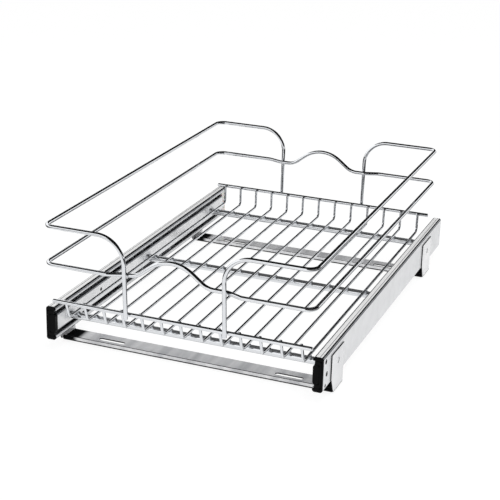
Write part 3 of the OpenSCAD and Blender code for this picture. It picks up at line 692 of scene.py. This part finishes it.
# The narrow faces of the channels and the rivets are painted nearly black, painted shade
for row in ("front", "rear"):
    rounded_copy("channel_" + row, row + "_channel", satin_chrome, 0.25 * MM, cut=painted_dark_edge)
rounded_copy("screws_of_tabs", "tab_screws", zinc, 0.3 * MM)
rounded_copy("rivets_of_brackets", "bracket_rivets", zinc, 0.15 * MM, cut=painted_dark_edge)

# %% [markdown]
# ## Balls and retainers
# The balls are ground round and the retainers are flat strip, deep inside the slides. Their solids
# are right as they are, so they stay and only get their finishes.

# %% Balls and retainers
for side in ("left", "right"):
    for row in ("outer", "inner"):
        for node, material in (("balls", ball_steel), ("retainer", retainer_steel)):
            frame["nodes"]["%s_%s_%s" % (row, node, side)].material_slots[0].material = material
print("the solids of the balls and the retainers stay")

# %% [markdown]
# ## The studio floor
# Chrome shows the room more than itself. Here the room is a white studio with a few dark gaps, which
# draw the dark lines along each wire. Its floor is white paper. A faint glow lifts the paper to
# nearly white where the camera or a reflection sees it, and it keeps the object's shadow, while all
# other light falls on plain paper and none is added. In reflections it is dark beyond both sides of
# the object. For the rails, which are more than 0.17 m away from it, it is also painted dark grey
# below the basket, a painted shadow of the basket that only reflections see.

# %% Floor
floor_bm = bmesh.new()
bmesh.ops.create_circle(floor_bm, cap_ends=True, segments=96, radius=4.0)
floor_mesh = bpy.data.meshes.new("studio_floor")
floor_bm.to_mesh(floor_mesh)
floor_bm.free()
floor = bpy.data.objects.new("studio_floor", floor_mesh)
bpy.context.scene.collection.objects.link(floor)
print("floor: a disc of %.0f m" % (2 * max(v.co.x for v in floor_mesh.vertices)))

# %% White paper
paper = bpy.data.materials.new("white_paper_floor")
paper.use_nodes = True
tree = paper.node_tree
tree.nodes.clear()
path = add_node(tree, "ShaderNodeLightPath").outputs
position = add_node(tree, "ShaderNodeNewGeometry").outputs["Position"]
# Painted shadow: for reflections longer than 0.17 m the floor below the basket is painted dark grey
painted_shadow_below_basket = [(EAST, 0.16, -0.02), (WEST, 0.16, -0.02), (NORTH, 0.26, -0.04), (SOUTH, 0.26, -0.04),
                (path["Ray Length"], 0.17, 0.06)]
dark = region(tree, position, painted_shadow_below_basket, [(EAST, 0.3, 0.06)], [(WEST, 0.35, 0.06)])
shaded = add_node(tree, "ShaderNodeMath", {0: dark, 1: path["Is Glossy Ray"]}, operation="MULTIPLY")
tone = add_node(tree, "ShaderNodeMix", {0: shaded, 6: colour("#F4F4F4"), 7: colour("#484848")}, data_type="RGBA")
matt = add_node(tree, "ShaderNodeBsdfDiffuse", {"Color": tone.outputs[2]})
faint = add_node(tree, "ShaderNodeBsdfDiffuse", Color=colour("#7C7C7C"))
glow = add_node(tree, "ShaderNodeEmission", Strength=0.86)
lifted = add_node(tree, "ShaderNodeAddShader", {0: faint, 1: glow})
mirrored = add_node(tree, "ShaderNodeMath", {0: path["Is Glossy Ray"], 1: shaded}, operation="SUBTRACT")
bright = add_node(tree, "ShaderNodeMath", {0: path["Is Camera Ray"], 1: mirrored}, operation="MAXIMUM")
seen = add_node(tree, "ShaderNodeMixShader", {0: bright, 1: matt, 2: lifted})
add_node(tree, "ShaderNodeOutputMaterial", {"Surface": seen})
floor_mesh.materials.append(paper)
print("floor finish:", paper.name)

# %% [markdown]
# ## The walls of the studio
# The walls are far away, so the world's colour stands for them, by direction. The camera sees plain
# white, and matt surfaces get an even, plain light. Reflections see white walls with three nearly
# black gaps: the ceiling from 37 degrees up, one behind the object, and one that runs from its
# front round its right side. A gap starts a little above the floor, so that each wire keeps a
# bright line below its dark one.

# %% World
world = bpy.data.worlds.new("white_studio")
bpy.context.scene.world = world
world.use_nodes = True
tree = world.node_tree
tree.nodes.clear()
CEILING = [(UP, 0.6, 0.05)]
BACK_GAP = [((-0.35, 0, 1), 0.15, 0.04), ((1, 0.6, 0), 0.0, 0.06), ((-1, 1.2, 0), 0.0, 0.1)]
RIGHT_GAP = [(UP, 0.05, 0.05), ((1, -0.05, 0), 0.0, 0.08), ((1.35, -1, 0), 0.0, 0.1)]
direction = add_node(tree, "ShaderNodeTexCoord").outputs["Generated"]
path = add_node(tree, "ShaderNodeLightPath").outputs
dark = region(tree, direction, CEILING, BACK_GAP, RIGHT_GAP)
walls = add_node(tree, "ShaderNodeMapRange", {"Value": dark}, To_Min=1.28, To_Max=0.008)
room = add_node(tree, "ShaderNodeMix", {0: path["Is Glossy Ray"], 2: 0.64, 3: walls}, data_type="FLOAT")
seen = add_node(tree, "ShaderNodeMix", {0: path["Is Camera Ray"], 2: room, 3: 1.0}, data_type="FLOAT")
sky = add_node(tree, "ShaderNodeBackground", {"Strength": seen}, Color=colour("#FFFFFF"))
add_node(tree, "ShaderNodeOutputWorld", {"Surface": sky})
print("the ceiling starts %.0f degrees up" % degrees(asin(CEILING[0][1])))

# %% [markdown]
# ## The lamp
# One large softbox stands at the front right, above the object. It gives matt surfaces their form
# and the object its soft shadow. Reflections don't see it, because it would show as a hard white
# rectangle on every wire.

# %% Light
lamp = bpy.data.lights.new("overhead_softbox", "AREA")
lamp.shape = "RECTANGLE"
lamp.size, lamp.size_y = 1.6, 1.2
lamp.energy = 14.0
softbox = bpy.data.objects.new("overhead_softbox", lamp)
softbox.visible_glossy = False
softbox.location = (0.5, -0.6, 1.8)
softbox.rotation_euler = (Vector((0, 0, 0)) - softbox.location).to_track_quat("-Z", "Y").to_euler()
bpy.context.scene.collection.objects.link(softbox)
print("softbox of %.1f by %.1f m, %.0f W" % (lamp.size, lamp.size_y, lamp.energy))

# %% [markdown]
# ## The camera
# The camera stands at the front right, looks down about 20 degrees, and is rolled very slightly.
# A long lens from almost 2 m away keeps the basket's far side nearly as large as its near side.

# %% Camera
CAMERA_PLACE = (0.5988, -1.5720, 0.7035)
CAMERA_YAW, CAMERA_PITCH, CAMERA_ROLL = radians(21.34), radians(20.48), radians(1.545)
back = Vector((sin(CAMERA_YAW) * cos(CAMERA_PITCH), -cos(CAMERA_YAW) * cos(CAMERA_PITCH), sin(CAMERA_PITCH)))
right = Vector((cos(CAMERA_YAW), sin(CAMERA_YAW), 0))
up = back.cross(right)
tilted_right = right * cos(CAMERA_ROLL) + up * sin(CAMERA_ROLL)
tilted_up = up * cos(CAMERA_ROLL) - right * sin(CAMERA_ROLL)
lens = bpy.data.cameras.new("studio_camera")
lens.lens = 95.364
lens.sensor_width = 36
camera = bpy.data.objects.new("studio_camera", lens)
camera.matrix_world = Matrix.Translation(CAMERA_PLACE) @ Matrix(
    (tilted_right, tilted_up, back)).transposed().to_4x4()
bpy.context.scene.collection.objects.link(camera)
bpy.context.scene.camera = camera
bpy.context.scene.view_settings.view_transform = "Standard"
print("camera: a %.0f mm lens, %.2f m away" % (lens.lens, Vector(CAMERA_PLACE).length))
